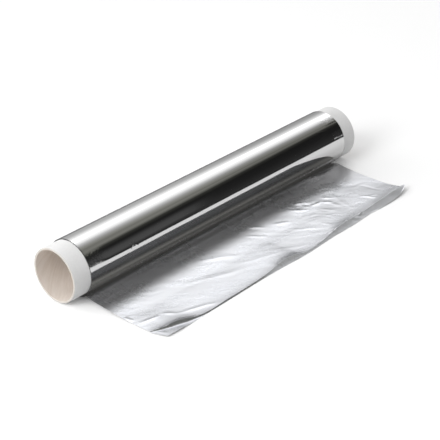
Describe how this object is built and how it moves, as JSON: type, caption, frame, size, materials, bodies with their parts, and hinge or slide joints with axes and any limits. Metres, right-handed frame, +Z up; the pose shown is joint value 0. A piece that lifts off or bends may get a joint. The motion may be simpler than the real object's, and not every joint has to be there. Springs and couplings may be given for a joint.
{
  "type": "aluminium foil roll",
  "caption": "Roll of bright aluminium kitchen foil on a white paperboard core, with its crinkled loose end drawn out flat over the table.",
  "frame": {"origin": "on the table, at the middle of the small flat spot that the roll rests on, under its axis and halfway along it", "axes": "+X along the roll's axis, +Z up, and the loose leaf lies towards -Y"},
  "size_m": [0.331, 0.124, 0.0468],
  "materials": {
    "core_board": "matte white paper outside, cream board inside",
    "foil_metal": "bright rolled foil, mirror-like outside and satin on the leaf's upper side"
  },
  "bodies": {
    "root": {"core_tube": "core_board", "foil": "foil_metal"}
  },
  "joints": []
}
